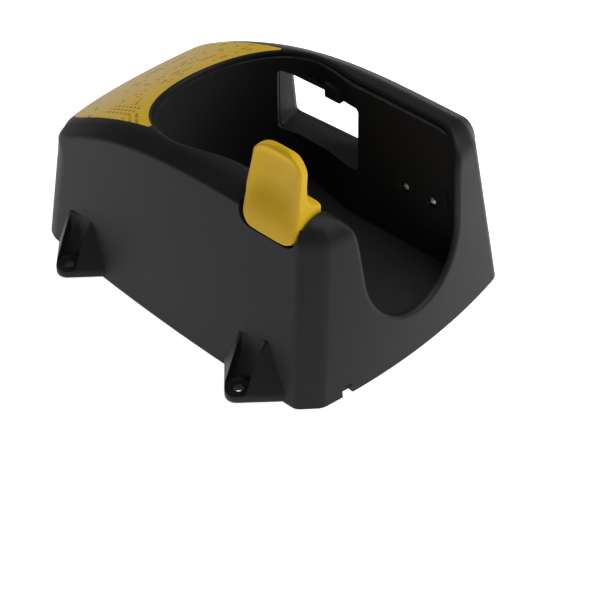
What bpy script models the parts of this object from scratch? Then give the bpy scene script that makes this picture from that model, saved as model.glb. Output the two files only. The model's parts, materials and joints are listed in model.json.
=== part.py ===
"""Charging and communication cradle for a gun-type barcode scanner.

X runs across the cradle, -Y is the front with the U notch for the scanner's grip, +Z is up.
The origin is the centre of the footprint, on the surface the cradle stands on.
Lengths below are in millimetres; every mesh is written in metres.
"""
import math

import bmesh
import bpy
from mathutils import Matrix, Vector

MM = 0.001

# Outside of the housing
BASE_Z = 0.6            # the skirt hangs this far above the table, the feet carry it
HALF_WIDTH = 67.8       # half width of the skirt at its widest
WIDEST_Y = -53.0
BARREL = 4.225e-4       # how fast the sides draw in, per mm squared
SIDE_DRAFT = 0.148      # slope of the side walls
FRONT_Y = -92.0
FRONT_DRAFT = 0.081
FRONT_BOW = 5.7
REAR_Y = 93.0
REAR_DRAFT = 0.115
REAR_BOW = 10.3
CENTRE_Y = 2.8          # middle of the footprint along Y, before it is moved to the origin
TOP_Z = 89.2
FALL_START = -42.0      # the top is level in front of this and falls away behind it
FALL_LENGTH = 124.5
FALL = 28.1
BAND = 8.0              # width of the bevelled band along the top and the front corners
BAND_REAR = 5.0
BAND_DROP = 4.5
FRONT_ROLL = (13.0, 12.0)  # depth and height of the roll from the top to the front face
REAR_ROLL = (6.5, 5.5)
WALL = 2.4
GAP = 0.3

# Well and channel
WELL_Y = 5.0
WELL_R = 44.6
CHANNEL = 39.3
CHANNEL_FRONT = -77.0
MOUTH = 30.0
FLOOR_Z = 15.0
LINER = 2.2
NOTCH_Z = 55.0
NOTCH_BOTTOM = 22.3

# Lever
LEVER_FRONT = -75.2
LEVER_REAR = -43.3
LEVER_LOW = 76.6
PIVOT = (-47.0, 80.0)
PIN_R = 1.5

# Contacts
CONTACT_YS = (-55.4, -71.3)
CONTACT_Z = 47.4

MOULDINGS = ("top_housing", "well_tray")

COLOURS = {
    "black_plastic": ((0.022, 0.022, 0.024), 0.55, 0.0),
    "tray_plastic": ((0.017, 0.017, 0.018), 0.6, 0.0),
    "yellow_plastic": ((0.78, 0.52, 0.03), 0.45, 0.0),
    "label_film": ((0.80, 0.50, 0.05), 0.3, 0.0),
    "plated_metal": ((0.83, 0.82, 0.78), 0.25, 1.0),
    "steel": ((0.55, 0.55, 0.56), 0.4, 1.0),
    "circuit_green": ((0.02, 0.16, 0.07), 0.5, 0.0),
    "rubber": ((0.03, 0.03, 0.03), 0.9, 0.0),
    "grey_plastic": ((0.16, 0.16, 0.17), 0.5, 0.0),
}


def clear_scene():
    for obj in list(bpy.data.objects):
        bpy.data.objects.remove(obj, do_unlink=True)


def collection(name):
    made = bpy.data.collections.new(name)
    bpy.context.scene.collection.children.link(made)
    return made


def material(obj, look):
    colour, rough, metal = COLOURS[look]
    made = bpy.data.materials.new(obj.name)
    made.use_nodes = True
    shader = made.node_tree.nodes["Principled BSDF"]
    shader.inputs["Base Color"].default_value = (*colour, 1)
    shader.inputs["Roughness"].default_value = rough
    shader.inputs["Metallic"].default_value = metal
    obj.data.materials.clear()
    obj.data.materials.append(made)


def linked(name, mesh, group):
    obj = bpy.data.objects.new(name, mesh)
    group.objects.link(obj)
    return obj


def as_cutter(obj):
    obj.hide_render = True
    obj.display_type = "WIRE"
    return obj


def centre_origin(obj, point):
    """Move the object's origin to a point in mm and leave its mesh where it stands."""
    at = Vector(point) * MM
    obj.data.transform(Matrix.Translation(-at))
    obj.location = at


def boolean(obj, other, operation="DIFFERENCE"):
    """The faceted barrel walls leave slivers that EXACT drops, so the large mouldings use MANIFOLD."""
    step = obj.modifiers.new(f"{operation.lower()} {other.name}", "BOOLEAN")
    step.operation = operation
    step.object = other
    step.solver = "MANIFOLD" if obj.name in MOULDINGS else "EXACT"


def from_bmesh(name, bm, group):
    mesh = bpy.data.meshes.new(name)
    bm.to_mesh(mesh)
    bm.free()
    return linked(name, mesh, group)


def box(name, low, high, group, bevel=0.0):
    bm = bmesh.new()
    bmesh.ops.create_cube(bm, size=1.0)
    size = [h - l for l, h in zip(low, high)]
    mid = [(h + l) / 2 for l, h in zip(low, high)]
    move = Matrix.Translation(Vector(mid) * MM) @ Matrix.Diagonal((*[s * MM for s in size], 1))
    bmesh.ops.transform(bm, matrix=move, verts=bm.verts)
    obj = from_bmesh(name, bm, group)
    if bevel:
        step = obj.modifiers.new("edges", "BEVEL")
        step.width = bevel * MM
        step.segments = 2
        step.limit_method = "ANGLE"
    return obj


def rod(name, start, end, r1, group, r2=None, sides=24):
    """Cylinder or cone from one point to another."""
    a = Vector(start) * MM
    b = Vector(end) * MM
    bm = bmesh.new()
    bmesh.ops.create_cone(bm, cap_ends=True, segments=sides, radius1=r1 * MM,
                          radius2=(r1 if r2 is None else r2) * MM, depth=(b - a).length)
    turn = (b - a).to_track_quat("Z", "Y").to_matrix().to_4x4()
    bmesh.ops.transform(bm, matrix=Matrix.Translation((a + b) / 2) @ turn, verts=bm.verts)
    return from_bmesh(name, bm, group)


def turned(name, profile, base, direction, group, steps=24):
    """Profile of (radius, height) points, axis to axis, revolved about a line through base."""
    mesh = bpy.data.meshes.new(name)
    points = [(r * MM, 0, h * MM) for r, h in profile]
    mesh.from_pydata(points, [(i, i + 1) for i in range(len(points) - 1)], [])
    obj = linked(name, mesh, group)
    screw = obj.modifiers.new("turn", "SCREW")
    screw.axis = "Z"
    screw.steps = steps
    screw.render_steps = steps
    screw.use_merge_vertices = True
    screw.merge_threshold = 0.00001
    screw.use_normal_calculate = False
    obj.location = Vector(base) * MM
    obj.rotation_euler = Vector(direction).to_track_quat("Z", "Y").to_euler()
    return obj


def prism(name, outline, low, high, axis, group):
    """Flat outline drawn as a filled 2D curve and extruded along an axis.

    axis z: outline in (x, y); axis y: outline in (x, z); axis x: outline in (y, z).
    """
    curve = bpy.data.curves.new(name, "CURVE")
    curve.dimensions = "2D"
    curve.fill_mode = "BOTH"
    curve.extrude = (high - low) / 2 * MM
    line = curve.splines.new("POLY")
    line.points.add(len(outline) - 1)
    for point, (u, v) in zip(line.points, outline):
        point.co = (u * MM, v * MM, 0, 1)
    line.use_cyclic_u = True
    drawn = bpy.data.objects.new(name + "_outline", curve)
    bpy.context.scene.collection.objects.link(drawn)
    bpy.context.view_layer.update()
    graph = bpy.context.evaluated_depsgraph_get()
    mesh = bpy.data.meshes.new_from_object(drawn.evaluated_get(graph))
    bpy.data.objects.remove(drawn, do_unlink=True)
    middle = (low + high) / 2 * MM
    if axis == "z":
        place = Matrix.Translation((0, 0, middle))
    elif axis == "y":
        place = Matrix.Translation((0, middle, 0)) @ Matrix.Rotation(math.pi / 2, 4, "X")
    else:
        place = Matrix.Translation((middle, 0, 0)) @ Matrix(
            ((0, 0, 1, 0), (1, 0, 0, 0), (0, 1, 0, 0), (0, 0, 0, 1)))
    mesh.transform(place)
    bm = bmesh.new()
    bm.from_mesh(mesh)
    bmesh.ops.remove_doubles(bm, verts=bm.verts, dist=1e-6)
    bmesh.ops.recalc_face_normals(bm, faces=bm.faces)
    bm.to_mesh(mesh)
    bm.free()
    return linked(name, mesh, group)


def arc(cx, cy, r, start, end, count):
    """Points on a circle, angles in degrees."""
    found = []
    for i in range(count + 1):
        a = math.radians(start + (end - start) * i / count)
        found.append((cx + r * math.cos(a), cy + r * math.sin(a)))
    return found


# ---------------------------------------------------------------- housing surface


def side(y, z, inset):
    """Half width of the housing at a height, less an inset."""
    return HALF_WIDTH - BARREL * (y - WIDEST_Y) ** 2 - SIDE_DRAFT * z - inset


def top(y):
    """Height of the top surface on the centre line."""
    back = max(0.0, y - FALL_START)
    return TOP_Z - FALL * (back / FALL_LENGTH) ** 2.5


def stations(inset, low):
    """Rear face, top and front face as one line: (y, z, normal y, normal z, bow, rise)."""
    rear_y = REAR_Y - inset
    front_y = FRONT_Y + inset
    rear_z = top(REAR_Y - 6) - inset
    front_z = TOP_Z - inset
    line = []
    fractions = (0, 0.25, 0.5, 0.75, 1)
    rear_edge = rear_z - REAR_ROLL[1]
    for f in fractions:
        z = low + (rear_edge - low) * f
        line.append((rear_y - REAR_DRAFT * z, z, 1, 0, REAR_BOW, f))
    y0 = rear_y - REAR_DRAFT * rear_edge
    for a in (30, 60):
        c, s = math.cos(math.radians(a)), math.sin(math.radians(a))
        line.append((y0 - REAR_ROLL[0] * (1 - c), rear_edge + REAR_ROLL[1] * s, c, s, REAR_BOW, 1))
    y1 = y0 - REAR_ROLL[0] - 1.5
    front_edge = front_z - FRONT_ROLL[1]
    y2 = front_y + FRONT_DRAFT * front_edge + FRONT_ROLL[0]
    count = 15
    for i in range(count + 1):
        y = y1 + (y2 - y1) * i / count
        bow = REAR_BOW + (-FRONT_BOW - REAR_BOW) * i / count
        line.append((y, top(y) - inset, 0, 1, bow, 1))
    for a in (75, 60, 45, 30, 15):
        c, s = math.cos(math.radians(a)), math.sin(math.radians(a))
        line.append((y2 - FRONT_ROLL[0] * c, front_edge + FRONT_ROLL[1] * s, -c, s, -FRONT_BOW, 1))
    for f in reversed(fractions):
        z = low + (front_edge - low) * f
        line.append((front_y + FRONT_DRAFT * z, z, -1, 0, -FRONT_BOW, f))
    return line


def housing_solid(name, inset, low, group):
    """Closed solid bounded by the housing's outer surface moved in by an inset."""
    line = stations(inset, low)
    rows = 5
    bm = bmesh.new()

    def vert(x, y, z):
        return bm.verts.new((x * MM, y * MM, z * MM))

    across = 8
    creases = {-1: [], 1: []}
    faces = []
    for y, z, ny, nz, bow, rise in line:
        back = BAND_REAR if ny > 0 else BAND
        cy = y - ny * back
        cz = z - nz * BAND_DROP
        wide = side(cy, cz, inset)
        rim = wide - (back if abs(ny) > 0.9 else BAND * nz + back * (1 - nz))
        for sign in (-1, 1):
            creases[sign].append((cy, cz, vert(sign * wide, cy, cz)))
        row = []
        for i in range(across + 1):
            v = 2 * i / across - 1
            shift = bow * (1 - v * v)
            lift = 0.0
            if y > FALL_START:
                lift = (top(y + shift) - top(y)) * rise
            row.append(vert(rim * v, y + shift, z + lift))
        faces.append(row)
    for a, b in zip(range(len(line) - 1), range(1, len(line))):
        for i in range(across):
            bm.faces.new((faces[a][i], faces[a][i + 1], faces[b][i + 1], faces[b][i]))
        for sign, end in ((-1, 0), (1, across)):
            bm.faces.new((faces[a][end], faces[b][end], creases[sign][b][2], creases[sign][a][2]))
    # Side walls: columns between the top crease and the skirt, ruled inside the four edges.
    last = len(line) - 1
    for sign in (-1, 1):
        edge = creases[sign]
        tops = list(range(rows - 1, last - rows + 2))
        columns = []
        (yr, zr, _), (yf, zf, _) = edge[0], edge[last]
        for k, index in enumerate(tops):
            if k == 0:
                columns.append([edge[i][2] for i in range(rows)])
                continue
            if k == len(tops) - 1:
                columns.append([edge[last - i][2] for i in range(rows)])
                continue
            share = k / (len(tops) - 1)
            ty, tz, above = edge[index]
            column = []
            for i in range(rows - 1):
                f = (0, 0.25, 0.5, 0.75)[i]
                y = (yr + (yf - yr) * share) * (1 - f) + ty * f
                z = low + (tz - low) * f
                column.append(vert(sign * side(y, z, inset), y, z))
            columns.append(column + [above])
        for a, b in zip(columns, columns[1:]):
            for i in range(rows - 1):
                bm.faces.new((a[i], b[i], b[i + 1], a[i + 1]))
    bmesh.ops.holes_fill(bm, edges=[e for e in bm.edges if e.is_boundary], sides=0)
    bmesh.ops.recalc_face_normals(bm, faces=bm.faces)
    return from_bmesh(name, bm, group)


def well_outline(inset, front):
    """Plan of the well: round at the back, a straight channel, and a narrower mouth in front."""
    channel = CHANNEL - inset
    mouth = MOUTH - inset
    right = [(mouth, front), (mouth, CHANNEL_FRONT - 7 + inset)]
    right += arc(mouth + 1.3, CHANNEL_FRONT + inset, 8.0, -60, 0, 5)
    right += [(channel, CHANNEL_FRONT + 12), (channel, -22.0)]
    right += [(channel + 1.6, -14.0), (channel + 3.6, -6.0)]
    right += arc(0, WELL_Y, WELL_R - inset, 0, 90, 11)
    left = [(-x, y) for x, y in reversed(right[:-1])]
    return right + left


def ring_loft(name, low_ring, low_z, high_ring, high_z, group):
    """Solid between two level outlines with the same number of points."""
    bm = bmesh.new()
    rings = []
    for ring, z in ((low_ring, low_z), (high_ring, high_z)):
        rings.append([bm.verts.new((x * MM, y * MM, z * MM)) for x, y in ring])
    count = len(low_ring)
    for i in range(count):
        j = (i + 1) % count
        bm.faces.new((rings[0][i], rings[0][j], rings[1][j], rings[1][i]))
    bm.faces.new(rings[0])
    bm.faces.new(rings[1])
    bmesh.ops.recalc_face_normals(bm, faces=bm.faces)
    return from_bmesh(name, bm, group)


def window_tunnel(name, grow, group):
    """Splayed tunnel through the right wall, wide inside and narrower at the outer skin."""
    bm = bmesh.new()
    inner = ((-26.3, 42.3), (25.0, 42.3), (25.0, 74.6), (-26.3, 76.2))
    outer = ((-7.2, 34.5), (38.6, 34.0), (38.6, 62.8), (-7.2, 63.5))
    rings = []
    for x, ring in ((36.0, inner), (68.0, outer)):
        mid_y = sum(p[0] for p in ring) / 4
        mid_z = sum(p[1] for p in ring) / 4
        rings.append([bm.verts.new((x * MM, (y + math.copysign(grow, y - mid_y)) * MM,
                                    (z + math.copysign(grow, z - mid_z)) * MM)) for y, z in ring])
    for i in range(4):
        j = (i + 1) % 4
        bm.faces.new((rings[0][i], rings[0][j], rings[1][j], rings[1][i]))
    bm.faces.new(rings[0])
    bm.faces.new(rings[1])
    bmesh.ops.recalc_face_normals(bm, faces=bm.faces)
    return from_bmesh(name, bm, group)


def notch_outline(grow):
    """U notch in the front wall, in (x, z)."""
    wide = MOUTH + grow
    deep = NOTCH_Z - NOTCH_BOTTOM + grow
    points = []
    for i in range(17):
        a = math.pi + math.pi * i / 16
        points.append((wide * math.cos(a), NOTCH_Z + deep * math.sin(a)))
    right = [(wide + 0.8, 74.0), (wide + 2.6, 81.0), (wide + 6.0, 86.5), (wide + 11.0, 90.5), (wide + 13.0, 110.0)]
    return points + right + [(-x, z) for x, z in reversed(right)]


def ear_points(y, reach, spread):
    """Corner points of a screw ear's sloped buttress on the right side."""
    root = side(y, 0, 0)
    inner = root - 9
    tip = []
    for a in (-75, -45, -15, 15, 45, 75):
        tip.append((reach - 5.5 + 5.5 * math.cos(math.radians(a)), y + 5.5 * math.sin(math.radians(a))))
    points = [(x, v, z) for x, v in tip for z in (BASE_Z, 4.4)]
    points += [(inner, y - spread, BASE_Z), (inner, y + spread, BASE_Z)]
    points += [(inner, y - spread, 4.0), (inner, y + spread, 4.0)]
    points += [(side(y, 27, 0) - 0.6, y - 8, 27.0), (side(y, 27, 0) - 0.6, y + 8, 27.0)]
    points += [(inner - 2, y - 8, 24.0), (inner - 2, y + 8, 24.0)]
    return points


EARS = ((59.0, 77.3, 24.0), (-59.0, 83.4, 25.0))


def ear(name, sign, y, reach, spread, group):
    bm = bmesh.new()
    for x, v, z in ear_points(y, reach, spread):
        bm.verts.new((sign * x * MM, v * MM, z * MM))
    made = bmesh.ops.convex_hull(bm, input=bm.verts)
    bmesh.ops.delete(bm, geom=made["geom_interior"], context="VERTS")
    bmesh.ops.recalc_face_normals(bm, faces=bm.faces)
    return as_cutter(from_bmesh(name, bm, group))


def ear_cutters(name, sign, y, reach, group):
    """Screw pocket open at the top and outside, and the screw hole in the tab."""
    r = 6.3
    centre = reach - 6.5
    outline = [(sign * (reach + 20), y - r), (sign * (reach + 20), y + r)]
    outline += [(sign * u, v) for u, v in arc(centre, y, r, 90, 270, 10)]
    pocket = as_cutter(prism(name + "_pocket", outline, 4.6, 60, "z", group))
    hole = as_cutter(rod(name + "_hole", (sign * centre, y, -3), (sign * centre, y, 8), 2.4, group))
    return pocket, hole


def lever_low_outline(grow, sink=0.0):
    """Round-cornered seat of the lever in the wall top, in (y, z), open upwards."""
    front, rear, low = LEVER_FRONT - grow, LEVER_REAR + grow, LEVER_LOW - grow - sink
    r = 6.0 + grow
    points = [(rear, 120.0), (front, 120.0)]
    points += arc(front + r, low + r, r, 180, 270, 5)
    points += arc(rear - r, low + r, r, 270, 360, 5)
    return points


def build_housing(parts, cutters):
    """Outer moulding: shell, top with the well opening, front notch, window, ears, screw bosses."""
    obj = housing_solid("top_housing", 0.0, BASE_Z, parts)
    for name, sign, (y, reach, spread) in (
            ("ear_rear_right", 1, EARS[0]), ("ear_rear_left", -1, EARS[0]),
            ("ear_front_right", 1, EARS[1]), ("ear_front_left", -1, EARS[1])):
        boolean(obj, ear(name, sign, y, reach, spread, cutters), "UNION")
    cavity = as_cutter(housing_solid("housing_cavity", WALL, -6.0, cutters))
    boolean(obj, cavity)
    for name, sign, (y, reach, spread) in (
            ("ear_rear_right", 1, EARS[0]), ("ear_rear_left", -1, EARS[0]),
            ("ear_front_right", 1, EARS[1]), ("ear_front_left", -1, EARS[1])):
        for cutter in ear_cutters(name, sign, y, reach, cutters):
            boolean(obj, cutter)
    boolean(obj, as_cutter(prism("lever_cut", lever_low_outline(0.6), -80, -30, "x", cutters)))
    opening = as_cutter(prism("well_opening", well_outline(0.0, -88.0), 70, 120, "z", cutters))
    boolean(obj, opening)
    notch = as_cutter(prism("front_notch", notch_outline(0.0), -120, -80, "y", cutters))
    boolean(obj, notch)
    boolean(obj, as_cutter(window_tunnel("window_in_skin", 0.0, cutters)))
    recess = as_cutter(prism("label_seat", label_outline(0.3), 40, 120, "z", cutters))
    boolean(recess, as_cutter(housing_solid("label_depth", 0.8, -10, cutters)))
    boolean(obj, recess)
    boolean(obj, as_cutter(box("front_edge_notch", (-48, -110, -5), (-42.5, -80, 5.5), cutters)))
    boolean(obj, as_cutter(box("jack_window", (15.3, 80, 6.8), (31.7, 120, 19.4), cutters)))
    boolean(obj, as_cutter(box("socket_window", (-23.6, 80, 6.8), (-4.4, 120, 21.4), cutters)))
    boolean(obj, as_cutter(box("skirt_pad", (-5.5, -97.2, 0), (7.0, -95.7, 3.0), cutters)), "UNION")
    skin = as_cutter(housing_solid("boss_limit", 1.0, 3.6, cutters))
    for i, (x, y) in enumerate(SCREW_POSTS):
        post = as_cutter(rod(f"screw_post_{i}", (x, y, 3.5), (x, y, 34), 4.2, cutters, sides=20))
        boolean(post, skin, "INTERSECT")
        boolean(obj, post, "UNION")
    for i, (x, y) in enumerate(SCREW_POSTS):
        boolean(obj, as_cutter(rod(f"screw_bore_{i}", (x, y, 0), (x, y, 16), 1.45, cutters, sides=16)))
    material(obj, "black_plastic")
    return obj


SCREW_POSTS = ((58.5, -68.0), (-58.5, -68.0), (50.0, 74.0), (-50.0, 74.0))


def label_outline(grow):
    """Crescent label: bowed rear edge, straight sides, front edge concentric with the well."""
    half = 42.0 + grow
    points = [(half, 27.0 - grow)]
    points += [(half, 76.0), (half - 2.0, 82.0), (half - 7.0, 86.0)]
    for i in range(1, 8):
        x = (half - 7.0) * (1 - 2 * i / 8)
        points.append((x, 86.0 + 7.4 * (1 - (x / (half - 7.0)) ** 2) + grow * 0.4))
    points += [(-half + 7.0, 86.0), (-half + 2.0, 82.0), (-half, 76.0), (-half, 27.0 - grow)]
    radius = WELL_R + 1.9 - grow
    for i in range(13):
        a = math.radians(152 - (152 - 28) * i / 12)
        points.append((radius * math.cos(a), WELL_Y + radius * math.sin(a)))
    return points


def build_label(parts, cutters):
    obj = housing_solid("label_panel", -0.15, BASE_Z, parts)
    boolean(obj, as_cutter(prism("label_plan", label_outline(0.0), 30, 120, "z", cutters)), "INTERSECT")
    boolean(obj, as_cutter(housing_solid("label_under", 0.5, -10, cutters)))
    material(obj, "label_film")
    return obj


def build_liner(parts, cutters):
    """Inner tray: well walls, channel walls, floor and the sleeve of the side window."""
    obj = ring_loft("well_tray", well_outline(3.0 - LINER, -120.0), FLOOR_Z - LINER,
                    well_outline(-LINER, -120.0), 100.0, parts)
    boolean(obj, as_cutter(window_tunnel("window_sleeve", 1.8, cutters)), "UNION")
    inside = as_cutter(housing_solid("tray_limit", WALL + GAP, 1.0, cutters))
    boolean(obj, inside, "INTERSECT")
    void = as_cutter(ring_loft("well_void", well_outline(3.0, -120.0), FLOOR_Z,
                               well_outline(0.0, -120.0), 101.0, cutters))
    boolean(obj, void)
    boolean(obj, as_cutter(window_tunnel("window_void", 0.0, cutters)))
    boolean(obj, as_cutter(prism("tray_lever_cut", lever_low_outline(0.7, 2.0), -80, -30, "x", cutters)))
    boolean(obj, as_cutter(box("latch_slot", (-50, -64.5, 54.5), (-30, -53.5, 80), cutters)))
    for i, y in enumerate(CONTACT_YS):
        boolean(obj, as_cutter(rod(f"contact_hole_{i}", (30, y, CONTACT_Z), (50, y, CONTACT_Z), 2.75, cutters)))
    boolean(obj, as_cutter(box("floor_recess", (5, -70.4, FLOOR_Z - 0.8), (31, -44, FLOOR_Z + 2), cutters)))
    material(obj, "tray_plastic")
    return obj


def build_base(parts, cutters):
    """Floor plate that closes the housing from below."""
    obj = housing_solid("base_plate", WALL + GAP, BASE_Z, parts)
    boolean(obj, as_cutter(box("plate_limit", (-90, -120, -2), (90, 120, 3.2), cutters)), "INTERSECT")
    for i, (x, y) in enumerate(SCREW_POSTS):
        boolean(obj, as_cutter(rod(f"plate_hole_{i}", (x, y, -2), (x, y, 6), 1.9, cutters, sides=20)))
        boolean(obj, as_cutter(rod(f"plate_sink_{i}", (x, y, -1), (x, y, 2.0), 3.7, cutters, sides=20)))
    for i, (x, y) in enumerate(FEET):
        boolean(obj, as_cutter(rod(f"foot_seat_{i}", (x, y, -2), (x, y, 1.6), 6.4, cutters, sides=28)))
    for i, (x, y) in enumerate(BOARD_POSTS):
        post = as_cutter(rod(f"board_post_{i}", (x, y, 3.0), (x, y, 5.6), 3.4, cutters, sides=20))
        boolean(obj, post, "UNION")
        boolean(obj, as_cutter(rod(f"board_bore_{i}", (x, y, 1.6), (x, y, 9), 1.15, cutters, sides=16)))
    material(obj, "grey_plastic")
    return obj


FEET = ((44.0, -76.0), (-44.0, -76.0), (36.0, 80.0), (-36.0, 80.0))
BOARD_POSTS = ((36.0, -30.0), (-36.0, -30.0), (36.0, 66.0), (-36.0, 66.0))


def build_feet(parts):
    for i, (x, y) in enumerate(FEET):
        obj = turned(f"rubber_foot_{i + 1}", [(0, 1.3), (5.6, 1.3), (6.0, 1.0), (6.0, 0.4), (5.6, 0), (0, 0)],
                     (x, y, 0), (0, 0, 1), parts, 28)
        material(obj, "rubber")


def screw(name, head, direction, head_r, head_h, shank_r, length, parts):
    """Pan-head screw with a cross recess left out of the solid; direction is where the tip points."""
    profile = [(0, length), (shank_r * 0.5, length), (shank_r, length - 1.0), (shank_r, 0),
               (head_r, 0), (head_r, -head_h * 0.55), (head_r * 0.75, -head_h), (0, -head_h)]
    obj = turned(name, profile, head, direction, parts, 20)
    material(obj, "steel")
    return obj


def build_lever(parts, cutters):
    """Thumb lever: hub filling the cut in the wall top, dished plate above, latch hook below."""
    section = [(-56.7, LEVER_LOW), (-55.9, 82.5), (-54.2, 86.5), (-52.4, 91.0), (-51.2, 98.0), (-50.6, 107.0),
               (-51.2, 115.5), (-50.2, 118.3), (-48.0, 119.6), (-46.6, 117.8), (-46.0, 108.0), (-45.2, 99.0),
               (-43.6, 93.2), (-41.2, 90.6), (-38.9, 89.6), (-38.5, 87.6), (-38.7, LEVER_LOW + 2.6),
               (-40.4, LEVER_LOW + 1.3), (-45.0, LEVER_LOW)]
    obj = prism("release_lever", section, LEVER_FRONT, LEVER_REAR, "y", parts)
    plate = [(-75.2, 93.0), (-75.6, 100.0), (-75.6, 110.0)]
    plate += arc(-67.6, 111.6, 8.0, 180, 90, 6)
    plate += arc(-57.0, 108.6, 9.5, 80, 0, 6)
    plate += [(-46.6, 100.0), (-44.4, 90.0)]
    plate += lever_low_outline(0.0)[:1:-1]
    face = as_cutter(prism("lever_plate_outline", plate, -70, -30, "x", cutters))
    boolean(obj, face, "INTERSECT")
    bm = bmesh.new()
    bmesh.ops.create_uvsphere(bm, u_segments=40, v_segments=24, radius=1.0)
    shape = Matrix.Translation(Vector((-72.0, -61.0, 104.0)) * MM) @ Matrix.Diagonal(
        (23.0 * MM, 19.5 * MM, 27.0 * MM, 1))
    bmesh.ops.transform(bm, matrix=shape, verts=bm.verts)
    boolean(obj, as_cutter(from_bmesh("thumb_dish", bm, cutters)))
    arm = as_cutter(box("latch_arm", (-46.2, -63.5, 57.0), (-43.2, -54.5, 79.0), cutters))
    boolean(obj, arm, "UNION")
    hook = [(-45.0, 57.0), (-36.4, 59.0), (-36.0, 60.6), (-38.6, 64.5), (-45.0, 64.5)]
    boolean(obj, as_cutter(prism("latch_hook", hook, -63.0, -55.0, "y", cutters)), "UNION")
    boolean(obj, as_cutter(box("spring_pocket", (-52.6, -49.6, 70), (-41.4, -40, 85.2), cutters)))
    boolean(obj, as_cutter(box("cheek_pocket", (-52.6, -80, 70), (-41.4, -71.8, 85.2), cutters)))
    boolean(obj, as_cutter(rod("pivot_bore", (PIVOT[0], -90, PIVOT[1]), (PIVOT[0], -30, PIVOT[1]),
                               PIN_R + 0.09, cutters, sides=32)))
    material(obj, "yellow_plastic")
    centre_origin(obj, (PIVOT[0], -59.2, PIVOT[1]))
    return obj


def build_pivot(parts, cutters):
    """Steel pin and the U bracket that carries it between the two walls."""
    pin = rod("lever_pin", (PIVOT[0], -74.9, PIVOT[1]), (PIVOT[0], -39.5, PIVOT[1]), PIN_R, parts, sides=32)
    material(pin, "steel")
    bracket = box("lever_bracket", (-54.4, -74.8, 62.5), (-50.4, -39.6, 64.7), parts)
    for i, y in enumerate((-74.8, -42.4)):
        cheek = [(-54.4, 62.5), (-54.4, 66.0), (-50.4, 72.0), (-50.2, 83.4), (-43.8, 83.4), (-43.8, 74.0),
                 (-47.0, 62.5)]
        boolean(bracket, as_cutter(prism(f"bracket_cheek_{i}", cheek, y, y + 2.4, "y", cutters)), "UNION")
    boolean(bracket, as_cutter(rod("bracket_bore", (PIVOT[0], -90, PIVOT[1]), (PIVOT[0], -30, PIVOT[1]),
                                   PIN_R + 0.05, cutters, sides=32)))
    material(bracket, "grey_plastic")


def coil(name, start, end, radius, wire, turns, group, legs=()):
    """Wire spring wound about a line; legs are extra points added before and after the coil."""
    a, b = Vector(start), Vector(end)
    frame = (b - a).to_track_quat("Z", "Y").to_matrix()
    steps = 12 * turns
    points = []
    for i in range(steps + 1):
        t = i / steps
        angle = 2 * math.pi * turns * t
        across = frame @ Vector((radius * math.cos(angle), radius * math.sin(angle), 0))
        points.append(a + (b - a) * t + across)
    if legs:
        points = [Vector(legs[0])] + points + [Vector(legs[1])]
    curve = bpy.data.curves.new(name, "CURVE")
    curve.dimensions = "3D"
    curve.bevel_depth = wire * MM
    curve.bevel_resolution = 2
    curve.use_fill_caps = True
    line = curve.splines.new("POLY")
    line.points.add(len(points) - 1)
    for point, at in zip(line.points, points):
        point.co = (*(at * MM), 1)
    obj = bpy.data.objects.new(name, curve)
    group.objects.link(obj)
    curve.materials.clear()
    return obj


def spring_material(obj):
    colour, rough, metal = COLOURS["steel"]
    made = bpy.data.materials.new(obj.name)
    made.use_nodes = True
    shader = made.node_tree.nodes["Principled BSDF"]
    shader.inputs["Base Color"].default_value = (*colour, 1)
    shader.inputs["Roughness"].default_value = rough
    shader.inputs["Metallic"].default_value = metal
    obj.data.materials.append(made)


def build_contacts(parts, cutters):
    """Two sprung charging contacts in a carrier behind the right channel wall."""
    carrier = box("contact_carrier", (40.3, -79.0, 41.0), (52.0, -47.2, 53.8), parts, 0.6)
    for i, y in enumerate(CONTACT_YS):
        z = CONTACT_Z
        boolean(carrier, as_cutter(rod(f"carrier_bore_{i}", (39, y, z), (50.6, y, z), 3.6, cutters, sides=28)))
        pin = turned(f"contact_pin_{i + 1}",
                     [(0, 7.4), (2.4, 7.4), (2.4, 3.5), (3.2, 3.5), (3.2, 2.3), (2.4, 2.3), (2.4, 0.2),
                      (1.9, -0.8), (1.1, -1.7), (0.5, -2.0), (0, -2.05)],
                     (38.0, y, z), (1, 0, 0), parts, 24)
        material(pin, "plated_metal")
        spring = coil(f"contact_spring_{i + 1}", (42.2, y, z), (50.0, y, z), 2.9, 0.28, 6, parts)
        spring_material(spring)
    for i, y in enumerate((-50.0, -76.7)):
        boolean(carrier, as_cutter(rod(f"carrier_screw_hole_{i}", (40, y, 47.4), (56, y, 47.4), 1.25,
                                       cutters, sides=16)))
        screw(f"carrier_screw_{i + 1}", (52.4, y, 47.4), (-1, 0, 0), 1.9, 1.1, 1.0, 9.6, parts)
    material(carrier, "grey_plastic")


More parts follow.
